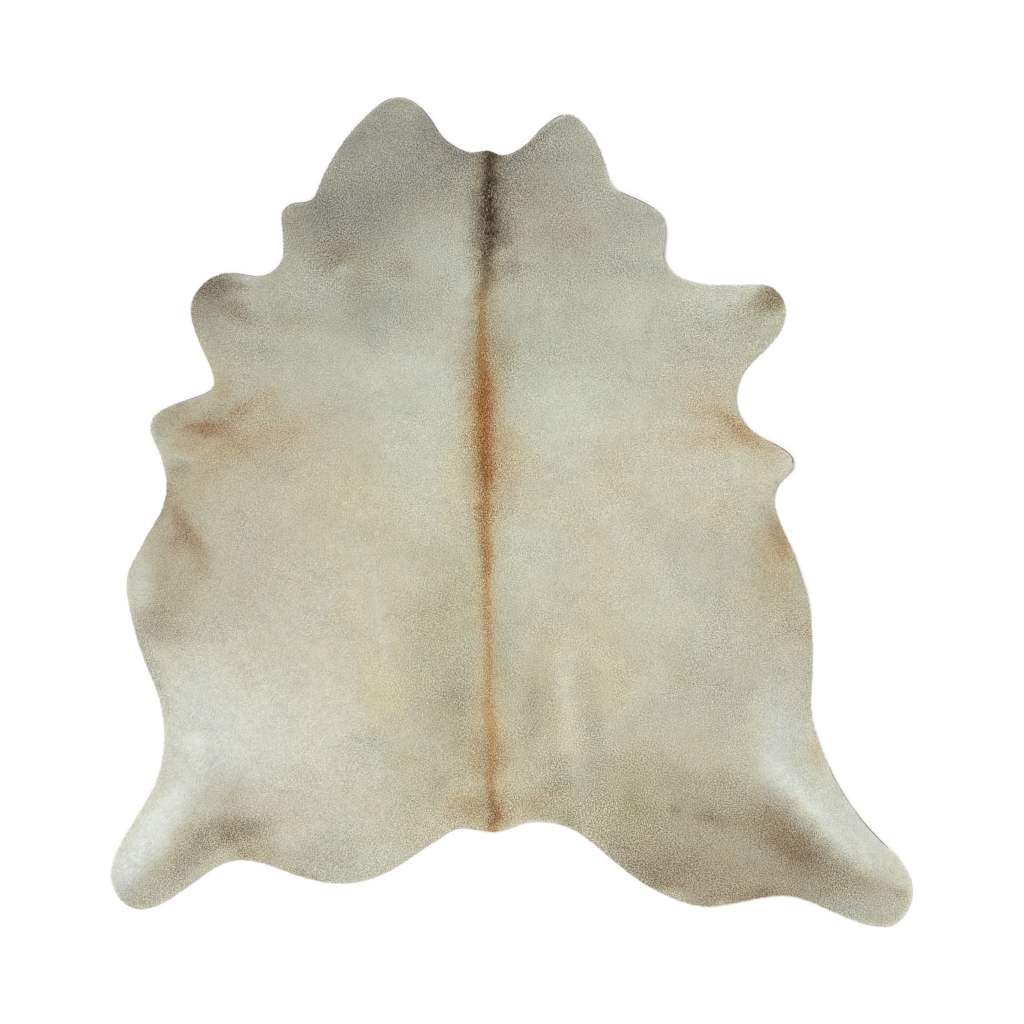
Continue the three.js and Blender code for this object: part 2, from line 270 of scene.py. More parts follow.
# The coat's soft patches, later rows over earlier ones. x and y are the middle, long
# and wide the half sizes where a patch has faded to half, share is how much of the
# colour its middle takes, edge how sharply it ends, and turn the long side's angle.
PATCH = ("x", "y", "long", "wide", "colour", "share", "edge", "turn")
USUAL = dict(edge=1, turn=0)  # where a row ends before them
PATCHES = dict(
    chestWash=(-60, 560, 720, 330, "dove", 0.75, 1.6),
    leftBackWash=(-420, -180, 250, 420, "bone", 0.45, 1.3),
    leftBackCream=(-330, -165, 120, 90, "cream", 0.3, 1.2),
    leftHaunchWash=(-690, -590, 270, 190, "frost", 0.6, 1.3),
    leftLoinSide=(-830, -400, 130, 60, "cream", 0.5, 1.3),
    leftLoinRim=(-954, -436, 104, 28, "pewter", 0.85, 1.4, -71),
    rightSideWash=(610, -290, 190, 280, "mauve", 0.2, 1.4),
    # neck, cheeks and shoulders
    leftCheek=(-320, 930, 210, 150, "smoke", 0.8, 1.5, 70),
    leftCheekBlue=(-355, 955, 130, 85, "ash", 0.6, 1.3, 60),
    leftCheekRim=(-420, 985, 60, 30, "slate", 0.35, 1, 50),
    leftCheekInner=(-172, 984, 64, 32, "slate", 0.9, 1, -42),
    leftNeck=(-170, 870, 90, 70, "smoke", 0.75, 1, 60),
    leftNeckRim=(-130, 945, 50, 25, "slate", 0.5),
    leftShoulder=(-470, 770, 150, 95, "smoke", 0.68, 1.5, 10),
    leftShoulderDark=(-495, 800, 40, 50, "slate", 0.4),
    leftShoulderSmudge=(-455, 675, 50, 32, "umber", 0.4, 1, 20),
    leftShoulderSpot=(-432, 636, 22, 13, "frost", 0.5, 1.2),
    leftNeckSmudge=(-285, 650, 30, 28, "taupe", 0.55, 1, -30),
    leftNeckBlue=(-210, 720, 90, 60, "dove", 0.6, 1, 80),
    leftChestBand=(-402, 605, 42, 85, "moss", 0.65),
    rightNeck=(40, 870, 90, 80, "mauve", 0.9, 1.3),
    rightNeckRim=(10, 930, 45, 30, "slate", 0.5, 1, 10),
    neckRim=(-4, 954, 70, 20, "slate", 0.7, 1.2, 12),
    rightCheek=(170, 960, 110, 110, "ash", 0.85, 1.5),
    rightCheekInner=(90, 925, 45, 25, "smoke", 0.5, 1, 10),
    rightCheekTop=(150, 1046, 52, 13, "ash", 0.6, 1.2, 6),
    rightCheekRim=(56, 972, 60, 17, "slate", 0.6, 1.2, 46),
    rightNeckLow=(130, 745, 110, 50, "mauve", 0.65, 1.2),
    rightNeckOlive=(115, 640, 150, 75, "moss", 0.3, 1.2),
    rightNeckWide=(150, 834, 66, 44, "mauve", 0.45),
    rightShoulder=(300, 790, 110, 60, "ash", 0.75, 1.2, -25),
    rightShoulderLow=(230, 655, 110, 45, "ash", 0.6),
    rightShoulderNub=(355, 655, 45, 28, "ash", 0.4),
    spineSideUpper=(2, 735, 24, 60, "umber", 0.18),
    spineSideLower=(-5, 650, 36, 30, "taupe", 0.6),
    # chest and forelegs
    leftChestGrey=(-340, 550, 150, 60, "ash", 0.45),
    leftChestDim=(-352, 462, 42, 28, "ash", 0.4),
    leftForelegShade=(-690, 430, 90, 32, "ash", 0.35),
    leftForelegBar=(-582, 506, 70, 24, "moss", 0.45),
    leftForelegBar2=(-608, 543, 55, 24, "ash", 0.4),
    leftForelegTip=(-790, 597, 64, 32, "bark", 0.7, 1.5, 12),
    leftForelegStreak=(-745, 538, 55, 22, "umber", 0.55, 1.3, -28),
    leftForelegEdge=(-815, 540, 55, 70, "taupe", 0.64, 1.2),
    leftForelegLow=(-775, 502, 62, 40, "ash", 0.4),
    leftForelegRim=(-706, 614, 40, 12, "frost", 0.4, 1.2, -4),
    rightChest=(180, 500, 200, 100, "pewter", 0.5, 1.2),
    rightChestBlue=(322, 512, 58, 50, "mist", 0.45, 1.1),
    rightChestShade=(120, 400, 90, 45, "ash", 0.3),
    rightForeleg=(562, 562, 88, 40, "ice", 0.52),
    rightForelegTop=(668, 602, 42, 14, "ice", 0.65, 1.3),
    rightForelegGrey=(500, 500, 170, 50, "pewter", 0.35, 1, -10),
    rightForelegTip=(692, 566, 46, 30, "umber", 0.72, 1.5, 30),
    rightForelegSmudge=(650, 541, 52, 28, "khaki", 0.45, 1.1, 18),
    rightForelegElbow=(650, 465, 70, 45, "pewter", 0.4, 1, 30),
    rightChestStreak=(365, 480, 34, 9, "ash", 0.5, 1, 80),
    rightChestBrown=(500, 412, 60, 40, "drab", 0.25),
    rightElbowTan=(515, 300, 60, 45, "tan", 0.4, 1, -20),
    rightChestSpeck=(315, 350, 12, 12, "moss", 0.6, 1.5),
    leftMidPale=(-290, 365, 130, 62, "ice", 0.4),
    chestStraw=(-168, 475, 52, 62, "straw", 0.35, 1.1),
    chestPale=(-122, 582, 24, 50, "mist", 0.5),
    # left belly
    leftBellyTip=(-905, 240, 60, 34, "tan", 0.25, 1.5, 20),
    leftBellyBrow=(-888, 264, 60, 22, "drab", 0.4, 1.2, 22),
    leftBellyEdge=(-930, 205, 40, 18, "dove", 0.6, 1.2, 70),
    leftBellyRust=(-808, 222, 55, 21, "rust", 0.72, 1.5, -3),
    leftBellyBar=(-802, 262, 32, 13, "taupe", 0.4, 1, 8),
    leftBellyTrail=(-748, 196, 70, 24, "copper", 0.5, 1.2, -35),
    leftBellyUnder=(-850, 180, 50, 24, "copper", 0.38, 1, -10),
    leftBellyLow=(-815, 90, 80, 45, "tan", 0.45, 1, 55),
    leftBellyPeach=(-680, 190, 140, 42, "peach", 0.6, 1.3, 5),
    leftBellyWarm=(-600, 110, 180, 40, "tan", 0.2),
    leftBellyWisp=(-560, 240, 70, 28, "peach", 0.25),
    leftBellyTuft=(-765, 318, 42, 26, "tan", 0.6, 1, 70),
    leftBellyTuft2=(-655, 290, 50, 28, "tan", 0.45, 1, 45),
    leftBellyTuft3=(-728, 258, 36, 18, "copper", 0.5, 1, 35),
    leftBellyPaleLine=(-928, 182, 26, 16, "mist", 0.7),
    leftBellyPaleLow=(-893, 128, 42, 14, "mist", 0.7, 1, -4),
    leftBellyGrey=(-885, 108, 32, 20, "drab", 0.55),
    leftWaistRim=(-922, 15, 55, 14, "taupe", 0.5, 1.2, 68),
    # left flank
    leftFlankGround=(-895, -150, 170, 66, "drab", 0.45, 1.6, 85),
    leftFlankRust=(-862, -45, 74, 24, "rust", 0.5, 1.3, -62),
    leftFlankRust2=(-886, -82, 28, 20, "copper", 0.4),
    leftFlankTrail=(-825, -125, 60, 24, "copper", 0.25, 1.2, -68),
    leftFlankLow=(-924, -322, 66, 28, "taupe", 0.42, 1.5, -6),
    leftFlankSmudge=(-945, -275, 34, 24, "umber", 0.25),
    leftFlankEdge=(-990, -185, 34, 72, "ice", 0.5, 1.3),
    # left haunch and leg
    leftHaunch=(-820, -510, 160, 110, "ice", 0.6, 1.3, -55),
    leftHaunchSpot=(-838, -612, 30, 28, "white", 0.8, 1.5),
    leftHaunchLow=(-830, -698, 90, 74, "ice", 0.5),
    leftHaunchShade=(-885, -712, 32, 24, "dove", 0.6, 1, 40),
    leftWhiteBand=(-935, -835, 170, 46, "white", 0.75, 2.0, 56),
    leftFoot=(-965, -1012, 90, 40, "stone", 0.4, 1.5, 15),
    leftFootCorner=(-1036, -1028, 36, 24, "stone", 0.7, 1.2, 30),
    leftLegFrost=(-990, -880, 130, 52, "frost", 0.45, 1.5, 60),
    leftLegBrown=(-836, -898, 92, 30, "taupe", 0.5, 1.4, 42),
    leftThighBrown=(-735, -842, 92, 36, "umber", 0.5, 1.4, 8),
    leftThighDark=(-700, -840, 42, 24, "bark", 0.25, 1, 10),
    leftThighHem=(-700, -906, 26, 16, "umber", 0.4, 1.2),
    leftThighGap=(-792, -858, 26, 20, "lilac", 0.5, 1, 40),
    leftThighUpper=(-738, -770, 34, 46, "taupe", 0.4),
    leftThighOlive=(-660, -892, 60, 28, "drab", 0.5, 1.2, -25),
    # left rump and loin
    leftRumpPale=(-520, -500, 190, 190, "cream", 0.4, 1.2),
    leftRumpLilac=(-610, -770, 150, 60, "lilac", 0.5),
    leftRumpGrey=(-465, -880, 70, 45, "dove", 0.6, 1.2, 40),
    leftRumpHem=(-458, -942, 92, 32, "dove", 0.55, 1.2),
    leftRumpHemDark=(-562, -962, 56, 16, "drab", 0.5, 1.2, -12),
    leftRumpLight=(-580, -872, 40, 24, "ice", 0.35, 1.1, -10),
    leftRumpHemPale=(-345, -912, 52, 28, "mist", 0.6, 1.1, 18),
    leftRumpHemBrown=(-512, -912, 48, 20, "drab", 0.3),
    leftRumpBright=(-400, -800, 120, 48, "bone", 0.8, 1, -10),
    leftLoinGrey=(-370, -610, 65, 50, "dove", 0.55, 1.2),
    leftLoinPale=(-236, -505, 30, 44, "bone", 0.45, 1.1),
    leftLoinDash=(-290, -660, 45, 20, "olive", 0.5),
    leftLoinStraw=(-335, -480, 70, 120, "straw", 0.5, 1.3),
    leftLoinStreak=(-350, -278, 125, 13, "ice", 0.6, 1.4, -78),
    leftLoinCream=(-352, -262, 40, 85, "cream", 0.5, 1.1),
    loinOlive=(-182, -400, 84, 220, "olive", 0.6, 1.4),
    loinMoss=(-215, -250, 110, 26, "moss", 0.18, 1, 10),
    loinOliveUpper=(-232, -112, 52, 50, "olive", 0.32),
    loinDrab=(-150, -505, 50, 80, "drab", 0.55, 1.2),
    tailBrownLeft=(-120, -635, 36, 60, "copper", 0.15, 1.2),
    tailHaloLeft=(-140, -770, 70, 36, "peach", 0.35, 1.2, -10),
    tailHaloLeftDark=(-105, -788, 46, 26, "copper", 0.35, 1, 20),
    leftTailSpot=(-196, -712, 30, 20, "drab", 0.5),
    leftRumpMoss=(-270, -790, 60, 70, "olive", 0.25),
    # left barrel
    leftBarrelPale=(-240, 150, 110, 200, "mist", 0.65, 1.2),
    spineStrawLeft=(-153, 115, 26, 78, "straw", 0.5, 1.1),
    leftBarrelLilac=(-700, -60, 90, 130, "lilac", 0.5),
    leftBarrelStraw=(-420, 20, 100, 120, "straw", 0.4),
    spineOlive=(-125, -180, 45, 90, "olive", 0.4),
    # right barrel and belly
    rightBarrelPale=(130, 260, 110, 140, "mist", 0.7, 1.4, -30),
    rightBarrelPale2=(260, 320, 120, 70, "mist", 0.3),
    spineTan=(-4, 112, 24, 78, "tan", 0.55, 1.1),
    spineWheat=(32, 126, 46, 100, "wheat", 0.3, 1.1),
    spineMoss=(-12, 410, 24, 48, "moss", 0.6),
    rightBellyBone=(570, 110, 140, 50, "bone", 0.5),
    rightBellyWisp=(515, 262, 55, 20, "peach", 0.45, 1, -15),
    rightBellyRidge=(520, 186, 62, 20, "peach", 0.3),
    rightBellyRust=(600, 216, 62, 20, "copper", 0.6, 1.4, -40),
    rightBellyPeach=(540, 200, 85, 30, "peach", 0.35),
    rightBellyEdge=(650, 188, 60, 24, "peach", 0.42, 1, -28),
    rightBellyTip=(740, 126, 30, 26, "ice", 0.5),
    rightElbowRim=(602, 300, 16, 42, "pewter", 0.45, 1.2),
    rightWaistRim=(710, 62, 22, 14, "drab", 0.5, 1.2, 60),
    rightWaistPale=(60, -110, 80, 130, "mist", 0.55, 1.3),
    rightDiagonalPale=(305, -72, 220, 34, "ice", 0.22, 1.0, -51),
    rightDiagonalShade=(500, -215, 92, 38, "dove", 0.55, 1, -48),
    rightFlankSlate=(515, -90, 115, 60, "pewter", 0.35, 1.1, -20),
    rightChestSlate=(290, 325, 100, 60, "pewter", 0.25, 1.1),
    rightFlankPale=(430, -290, 120, 60, "mist", 0.45, 1, -20),
    # right flank
    rightFlankTan=(698, -112, 105, 50, "tan", 0.62, 2.0, -75),
    rightFlankOlive=(742, -182, 66, 34, "olive", 0.5, 1.2, -72),
    rightFlankRim=(770, -185, 80, 14, "ash", 0.5, 1.2, -76),
    rightFlankRust=(703, -58, 66, 27, "rust", 0.4, 1.5, -64),
    rightFlankPatch=(655, -18, 32, 26, "dove", 0.6, 1.2),
    rightFlankSide=(656, -162, 72, 26, "khaki", 0.2, 1.5, -85),
    rightFlankTaupe=(730, -250, 95, 44, "drab", 0.36, 1.8, -65),
    rightFlankCorner=(778, -325, 28, 34, "drab", 0.5, 1.2),
    rightHaunchRim=(786, -480, 22, 80, "pewter", 0.7, 1.2),
    # right haunch and leg
    rightHaunchPale=(694, -570, 50, 110, "ice", 0.6, 1.7),
    rightHaunchBlue=(762, -585, 40, 60, "glacier", 0.5, 1.2),
    rightHaunchStar=(725, -695, 60, 55, "frost", 0.45, 1.3),
    rightThighWarm=(812, -622, 24, 34, "peach", 0.4, 1.2),
    rightHaunchWide=(712, -636, 52, 84, "glacier", 0.42, 1.2),
    rightHaunchDim=(752, -655, 26, 28, "olive", 0.28, 1.2),
    rightWhiteRidge=(812, -788, 165, 24, "white", 0.5, 1.6, -46),
    rightRidgeShade=(728, -782, 88, 22, "pewter", 0.85, 1.3, -44),
    rightRidgeCore=(774, -760, 122, 13, "ice", 0.62, 1.4, -44),
    rightRidgeEnd=(925, -893, 50, 7, "frost", 0.6, 1.3, -65),
    rightWhiteOuter=(900, -795, 150, 50, "glacier", 0.55, 1.6, -50),
    rightLegFrost=(985, -900, 95, 55, "glacier", 0.55, 1.5, -50),
    # painted shade in the valley between the thigh's two ridges
    rightLegCreaseShade=(905, -885, 60, 12, "dove", 0.4, 1.1, -48),
    rightLegBlue=(868, -892, 60, 20, "glacier", 0.5, 1.2, -48),
    rightHock=(1000, -910, 60, 50, "bone", 0.6),
    rightThighUnder=(700, -965, 140, 54, "taupe", 0.68, 1.4, -14),
    rightThighBase=(738, -952, 80, 28, "sable", 0.22, 1.2, -10),
    rightThighDark=(733, -862, 112, 43, "umber", 0.78, 1.5, -44),
    rightThighTail=(838, -908, 70, 22, "taupe", 0.5, 1.2, -38),
    rightThighSpot=(792, -921, 36, 24, "umber", 0.6, 1.2, -40),
    rightThighRear=(815, -948, 85, 26, "umber", 0.34, 1.2, -20),
    rightThighDarkest=(700, -878, 70, 34, "sable", 0.42, 1.2, -40),
    rightThighCorner=(655, -866, 66, 34, "umber", 0.46, 1.2, -30),
    rightLegDark=(868, -982, 95, 46, "taupe", 0.7, 1.3, -15),
    rightThighUpper=(630, -822, 80, 36, "taupe", 0.5, 1.2, -8),
    rightThighHaze=(650, -750, 70, 28, "mauve", 0.4, 1, -20),
    rightThighHaze2=(602, -770, 50, 24, "mauve", 0.5, 1, -10),
    rightFoot=(1000, -1045, 62, 48, "ash", 0.42, 1.2),
    rightFootBrown=(965, -1012, 70, 20, "drab", 0.22, 1.2, -28),
    rightFootSpot=(1030, -1012, 22, 16, "taupe", 0.5, 1.2, -20),
    rightSole=(880, -1060, 100, 30, "ash", 0.8, 1.2, -12),
    # right rump
    rightRumpGround=(470, -910, 230, 110, "drab", 0.8, 1.8, -12),
    rightRumpBrown=(430, -945, 125, 50, "umber", 0.3, 1.3, -12),
    rightRumpHem=(600, -1018, 100, 22, "umber", 0.35, 1.2, 3),
    rightRumpHemLeft=(415, -988, 60, 20, "umber", 0.42, 1.2, -30),
    rightRumpHemMid=(674, -1013, 50, 16, "umber", 0.45, 1.2),
    rightRumpHemPale=(438, -1022, 40, 14, "mist", 0.45, 1.2, -14),
    rightRumpHemTan=(500, -1030, 50, 14, "taupe", 0.4, 1.2),
    rightRumpHemEnd=(770, -1012, 75, 24, "taupe", 0.5, 1.2),
    rightRumpBand=(560, -806, 130, 26, "khaki", 0.5, 1.1, -12),
    rightRumpSmudge=(530, -815, 60, 26, "umber", 0.35),
    rightRumpRed=(505, -765, 70, 22, "taupe", 0.45, 1.1, -8),
    rightRumpSmudge2=(324, -788, 56, 54, "umber", 0.5),
    rightRumpSpot=(436, -795, 14, 13, "umber", 0.5, 1.3),
    rightRumpShadow=(525, -726, 85, 34, "moss", 0.7, 1.2, -8),
    rightRumpShadow2=(420, -722, 40, 28, "drab", 0.45),
    rightRumpShade=(358, -690, 160, 52, "drab", 0.54, 1.2, -5),
    rightRumpOlive=(280, -790, 120, 90, "olive", 0.5, 1.3, -10),
    rightRumpEdge=(322, -926, 84, 24, "taupe", 0.45, 1.2, -46),
    rightTailMoss=(150, -735, 66, 44, "moss", 0.62, 1.2),
    rightTailPale=(190, -742, 24, 58, "lilac", 0.4, 1.2),
    rightTailDark=(148, -818, 36, 26, "moss", 0.6, 1, -20),
    tailShade=(68, -790, 26, 42, "moss", 0.5, 1.1),
    # right loin
    rightLoinGround=(545, -500, 190, 170, "pewter", 0.42),
    rightLoinDark=(60, -505, 26, 90, "moss", 0.5, 1.2, 3),
    rightLoinVeil=(99, -510, 18, 125, "olive", 0.5, 1.2),
    rightLoinDark2=(42, -610, 28, 80, "drab", 0.35),
    spineOliveRight=(-18, -400, 28, 90, "olive", 0.6),
    rightLoinPale=(150, -520, 16, 140, "bone", 0.65, 1.3, 6),
    rightLoinEnd=(118, -664, 32, 20, "moss", 0.5, 1.2),
    rightLoinStraw=(212, -530, 22, 52, "tan", 0.3),
    rightLoinShade=(222, -590, 24, 60, "pewter", 0.6, 1, 6),
    rightLoinWarm=(250, -470, 50, 100, "straw", 0.4),
    rightLoinSpot=(452, -445, 28, 16, "olive", 0.5, 1, 50),
    rightLoinLight=(355, -455, 30, 28, "bone", 0.5),
    rightLoinSlate=(290, -592, 55, 32, "pewter", 0.4),
    tailHaloRight=(60, -775, 50, 34, "tan", 0.5, 1.2),
)

# The dark line down the back, from the neck to the tail: its middle and half width
# at each station, its colour, and the wider halo that it fades through
STATION = ("y", "x", "half", "share", "colour", "halo", "haloHalf", "haloShare")
BACK_LINE_REACH = 220
LINE_EDGE = 2.4  # how sharply the line ends
HALO_EDGE = 3
BACK_LINE = [
    (950, -55, 16, 1.0, "soot", "dusk", 38, 0.75),
    (860, -59, 16, 1.0, "soot", "dusk", 46, 0.85),
    (770, -58, 16, 1.0, "soot", "dusk", 48, 0.9),
    (719, -56, 15, 1.0, "sepia", "dusk", 45, 0.85),
    (679, -70, 12, 1.0, "sepia", "loam", 30, 0.7),
    (640, -66, 15, 1.0, "walnut", "loam", 32, 0.75),
    (600, -65, 15, 0.9, "walnut", "hay", 30, 0.65),
    (550, -75, 12, 0.8, "camel", "hay", 40, 0.6),
    (490, -74, 13, 0.9, "camel", "hay", 46, 0.65),
    (410, -75, 15, 0.95, "chestnut", "hay", 54, 0.8),
    (320, -77, 19, 1.0, "ginger", "honey", 48, 0.8),
    (200, -70, 20, 1.0, "ginger", "honey", 52, 0.85),
    (100, -69, 17, 1.0, "ginger", "honey", 44, 0.75),
    (40, -72, 18, 0.95, "amber", "sand", 44, 0.7),
    (-80, -68, 14, 0.95, "amber", "sand", 34, 0.55),
    (-140, -68, 11, 0.95, "amber", "sand", 30, 0.5),
    (-200, -67, 11, 0.9, "fawn", "sand", 28, 0.45),
    (-320, -62, 12, 0.85, "fawn", "sand", 30, 0.45),
    (-440, -61, 14, 0.9, "fawn", "sand", 36, 0.5),
    (-560, -58, 12, 0.95, "fawn", "sand", 36, 0.5),
    (-610, -56, 13, 0.95, "caramel", "dune", 46, 0.8),
    (-660, -54, 13, 0.9, "caramel", "dune", 50, 0.8),
    (-720, -53, 11, 0.95, "caramel", "sand", 40, 0.6),
    (-770, -47, 13, 0.95, "cinnamon", "dune", 50, 0.75),
    (-810, -43, 15, 1.0, "cinnamon", "dune", 44, 0.75),
    (-840, -48, 14, 1.0, "caramel", "sand", 42, 0.5),
]


# camera

CAMERA_LENS = 85.0
VIEW_WIDTH = 2.7136  # metres of rug plane across the photograph
VIEW_CENTRE = (0.0016, -0.0015)
NEAREST, FARTHEST = 0.05, 100  # metres that the camera sees


def make_camera():
    camera = bpy.data.cameras.new("camera")
    camera.lens = CAMERA_LENS
    half_tangent = camera.sensor_width / 2 / CAMERA_LENS
    height = VIEW_WIDTH / 2 / half_tangent + (LEATHER + NAP) * MM
    camera.clip_start, camera.clip_end = NEAREST, FARTHEST
    ob = bpy.data.objects.new("camera", camera)
    ob.location = (*VIEW_CENTRE, height)
    bpy.context.scene.collection.objects.link(ob)
    bpy.context.scene.camera = ob


# helpers


def link(ob):
    bpy.context.scene.collection.objects.link(ob)
    return ob


def linear(colour):
    """sRGB values from 0 to 255 as linear ones from 0 to 1."""
    c = np.clip(np.asarray(colour, float) / 255, 0, 1)
    return np.where(c <= 0.04045, c / 12.92, ((c + 0.055) / 1.055) ** 2.4)


LATTICE = 256  # cells of the noise before it repeats
LATTICE_START = 1000.0  # keeps their numbers positive
FULL_WITHIN = 1.6  # how soon a stretch of the edge has its full value


def mottle(x, y, size, seed):
    """Smooth noise from -1 to 1, in patches about size mm across."""
    lattice = np.random.default_rng(seed).uniform(-1, 1, (LATTICE, LATTICE))
    u, v = x / size + LATTICE_START, y / size + LATTICE_START
    i, j = np.floor(u).astype(int), np.floor(v).astype(int)
    fu, fv = u - i, v - j
    fu, fv = fu * fu * (3 - 2 * fu), fv * fv * (3 - 2 * fv)
    i0, i1, j0, j1 = i % LATTICE, (i + 1) % LATTICE, j % LATTICE, (j + 1) % LATTICE
    low = lattice[i0, j0] * (1 - fu) + lattice[i1, j0] * fu
    high = lattice[i0, j1] * (1 - fu) + lattice[i1, j1] * fu
    return low * (1 - fv) + high * fv


def mottled(x, y, layers):
    """The sum of noise in layers, each with its strength, size and seed."""
    return sum(strength * mottle(x, y, size, seed) for strength, size, seed in layers)


def fall_off(distance, reach):
    t = np.clip(1 - distance / reach, 0, 1)
    return t * t * (3 - 2 * t)


def named(columns, rows):
    """A table's rows as dicts, by the names of its columns."""
    return [{**USUAL, **dict(zip(columns, row))} for row in rows]


def near_segment(x, y, row):
    """The points within a row's reach of its segment, and their distances to it."""
    x1, y1, x2, y2, reach = (row[k] for k in STRETCH[:-1])
    inside = np.flatnonzero(
        (x > min(x1, x2) - reach)
        & (x < max(x1, x2) + reach)
        & (y > min(y1, y2) - reach)
        & (y < max(y1, y2) + reach)
    )
    px, py = x[inside] - x1, y[inside] - y1
    dx, dy = x2 - x1, y2 - y1
    t = np.clip((px * dx + py * dy) / (dx * dx + dy * dy), 0, 1)
    return inside, np.hypot(px - t * dx, py - t * dy)


def lift(x, y):
    """How high the skin's underside stands above the floor, in mm."""
    z = np.zeros(len(x))
    for row in named(STRETCH, FOLDS.values()):
        inside, distance = near_segment(x, y, row)
        raised = row["value"] * fall_off(distance, row["reach"])
        z[inside] = np.maximum(z[inside], raised)
    return z


def skin_top(x, y):
    """The height of the skin's hair side, in mm."""
    z = lift(x, y) + LEATHER
    for row in named(STRETCH, CREASES.values()):
        inside, distance = near_segment(x, y, row)
        z[inside] += row["value"] * fall_off(distance, row["reach"])
    return z


def on_stretches(x, y, table, elsewhere=0.0):
    """The value that a table gives to stretches of the edge, eased at their ends."""
    out = np.full(len(x), elsewhere)
    for row in named(STRETCH, table.values()):
        inside, distance = near_segment(x, y, row)
        share = np.minimum(1, FULL_WITHIN * fall_off(distance, row["reach"]))
        value = elsewhere + share * (row["value"] - elsewhere)
        out[inside] = np.maximum(out[inside], value)
    return out


def lean(x, y):
    """How far the cut edge leans out, in mm."""
    return on_stretches(x, y, CUT_EDGES, CUT_BEVEL)


def whiteness(x, y, depth):
    """How far the hair has faded to white, at that depth inside the edge in mm."""
    most = on_stretches(x, y, PALE_RIMS)
    return most * 0.5 ** (np.clip(depth, 0, None) / WHITE_DEPTH)


def mesh_from(name, points, triangles):
    """A smooth mesh from points in mm and rows of three corners."""
    me = bpy.data.meshes.new(name)
    me.vertices.add(len(points))
    me.vertices.foreach_set("co", (np.asarray(points, float) * MM).ravel())
    me.loops.add(3 * len(triangles))
    me.loops.foreach_set("vertex_index", np.asarray(triangles).astype(np.int32).ravel())
    me.polygons.add(len(triangles))
    me.polygons.foreach_set("loop_start", np.arange(0, 3 * len(triangles), 3))
    me.update(calc_edges=True)
    me.polygons.foreach_set("use_smooth", np.ones(len(triangles), bool))
    me.validate()
    return me


def paint(me, colours, grain):
    """Gives each point a linear colour and a strength of grain for the materials."""
    rgba = np.ones((len(me.vertices), 4))
    rgba[:, :3] = colours
    layer = me.color_attributes.new(name="coat", type="FLOAT_COLOR", domain="POINT")
    layer.data.foreach_set("color", rgba.ravel())
    layer = me.attributes.new(name="grain", type="FLOAT", domain="POINT")
    layer.data.foreach_set("value", np.asarray(grain, np.float32))


def relative(steps, colour):
    """A difference in sRGB steps as a share of the linear colour."""
    return DISPLAY_GAMMA * steps / np.clip(colour.mean(1), GRAIN_DARKEST, None)


def fibre_grain(steps, colour):
    """The fibres' part of a grain in sRGB steps, as a share of the linear colour."""
    return np.minimum(FIBRE_GRAIN * relative(steps, colour), FIBRE_MOST)


# outline

CURVE_POINTS = 8  # between two of the loop's points
BATCH = 4096  # points measured at a time
GRID_CELL = 8.0
UP_FACING = 0.5  # least upward share of a top face's normal


def columns_of(items, key, kind, width):
    """A property of every item, as rows of that width."""
    out = np.empty(len(items) * width, kind)
    items.foreach_get(key, out)
    return out.reshape(-1, width)


def read_outline():
    """The hide's outline in mm, counter-clockwise, from the CAD node's top faces."""
    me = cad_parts["hide"].data
    co = columns_of(me.vertices, "co", float, 3)
    me.calc_loop_triangles()
    tris = columns_of(me.loop_triangles, "vertices", np.int32, 3)
    a, b, c = (co[tris[:, k]] for k in range(3))
    normal = np.cross(b - a, c - a)
    up = normal[:, 2] > UP_FACING * np.linalg.norm(normal, axis=1)
    places, merged = np.unique(
        np.round(co[:, :2] / MM, 2), axis=0, return_inverse=True
    )
    tris = merged.ravel()[tris[up]]
    edges = np.concatenate([tris[:, [0, 1]], tris[:, [1, 2]], tris[:, [2, 0]]])
    known = set(map(tuple, edges.tolist()))
    following = {p: q for p, q in known if (q, p) not in known}
    start = min(following)
    loop = [start]
    while following[loop[-1]] != start:
        loop.append(following[loop[-1]])
    return places[loop]


def resample(loop, step):
    """The loop through the same points as a smooth curve, with even steps."""
    before, after, after2 = (np.roll(loop, k, axis=0) for k in (1, -1, -2))
    t = np.linspace(0, 1, CURVE_POINTS, endpoint=False)[:, None, None]
    curve = 0.5 * (
        2 * loop
        + (after - before) * t
        + (2 * before - 5 * loop + 4 * after - after2) * t**2
        + (3 * loop - before - 3 * after + after2) * t**3
    )
    curve = curve.transpose(1, 0, 2).reshape(-1, 2)
    closed = np.vstack([curve, curve[:1]])
    along = np.r_[0, np.cumsum(np.hypot(*np.diff(closed, axis=0).T))]
    stations = np.linspace(0, along[-1], round(along[-1] / step), endpoint=False)
    return np.stack([np.interp(stations, along, closed[:, k]) for k in (0, 1)], 1)


def outward(loop):
    """The unit normals that point out of a counter-clockwise loop."""
    d = np.roll(loop, -1, axis=0) - np.roll(loop, 1, axis=0)
    d /= np.linalg.norm(d, axis=1)[:, None]
    return np.stack([d[:, 1], -d[:, 0]], 1)


